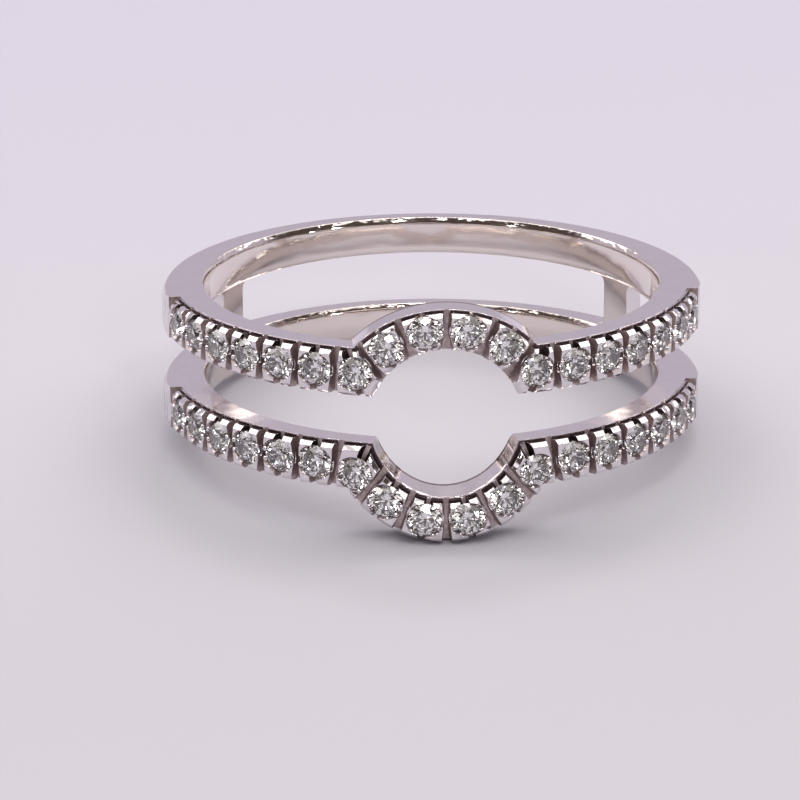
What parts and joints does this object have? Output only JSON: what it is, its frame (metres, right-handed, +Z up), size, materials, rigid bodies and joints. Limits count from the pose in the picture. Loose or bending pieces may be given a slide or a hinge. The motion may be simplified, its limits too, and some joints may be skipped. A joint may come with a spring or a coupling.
{
  "type": "ring guard enhancer",
  "caption": "Ring guard: two slim bands joined at the back by two posts, each with a half-round bow in front, set with small round stones.",
  "frame": {"origin": "on the surface that the ring lies on, under the middle of its box", "axes": "+Z up, front with the bows towards -Y, +X to the right seen from the front; the ring lies on its side with its front raised by 6.5 degrees on the lower bow"},
  "size_m": [0.0204, 0.0198, 0.0088],
  "materials": {
    "white_metal": "polished white gold",
    "clear_stone": "faceted, polished"
  },
  "bodies": {
    "root": {"guard_frame": "white_metal", "stone_upper_01": "clear_stone", "stone_upper_02": "clear_stone", "stone_upper_03": "clear_stone", "stone_upper_04": "clear_stone", "stone_upper_05": "clear_stone", "stone_upper_06": "clear_stone", "stone_upper_07": "clear_stone", "stone_upper_08": "clear_stone", "stone_upper_09": "clear_stone", "stone_upper_10": "clear_stone", "stone_upper_11": "clear_stone", "stone_upper_12": "clear_stone", "stone_upper_13": "clear_stone", "stone_upper_14": "clear_stone", "stone_upper_15": "clear_stone", "stone_upper_16": "clear_stone", "stone_upper_17": "clear_stone", "stone_upper_18": "clear_stone", "stone_lower_01": "clear_stone", "stone_lower_02": "clear_stone", "stone_lower_03": "clear_stone", "stone_lower_04": "clear_stone", "stone_lower_05": "clear_stone", "stone_lower_06": "clear_stone", "stone_lower_07": "clear_stone", "stone_lower_08": "clear_stone", "stone_lower_09": "clear_stone", "stone_lower_10": "clear_stone", "stone_lower_11": "clear_stone", "stone_lower_12": "clear_stone", "stone_lower_13": "clear_stone", "stone_lower_14": "clear_stone", "stone_lower_15": "clear_stone", "stone_lower_16": "clear_stone", "stone_lower_17": "clear_stone", "stone_lower_18": "clear_stone"}
  },
  "joints": []
}
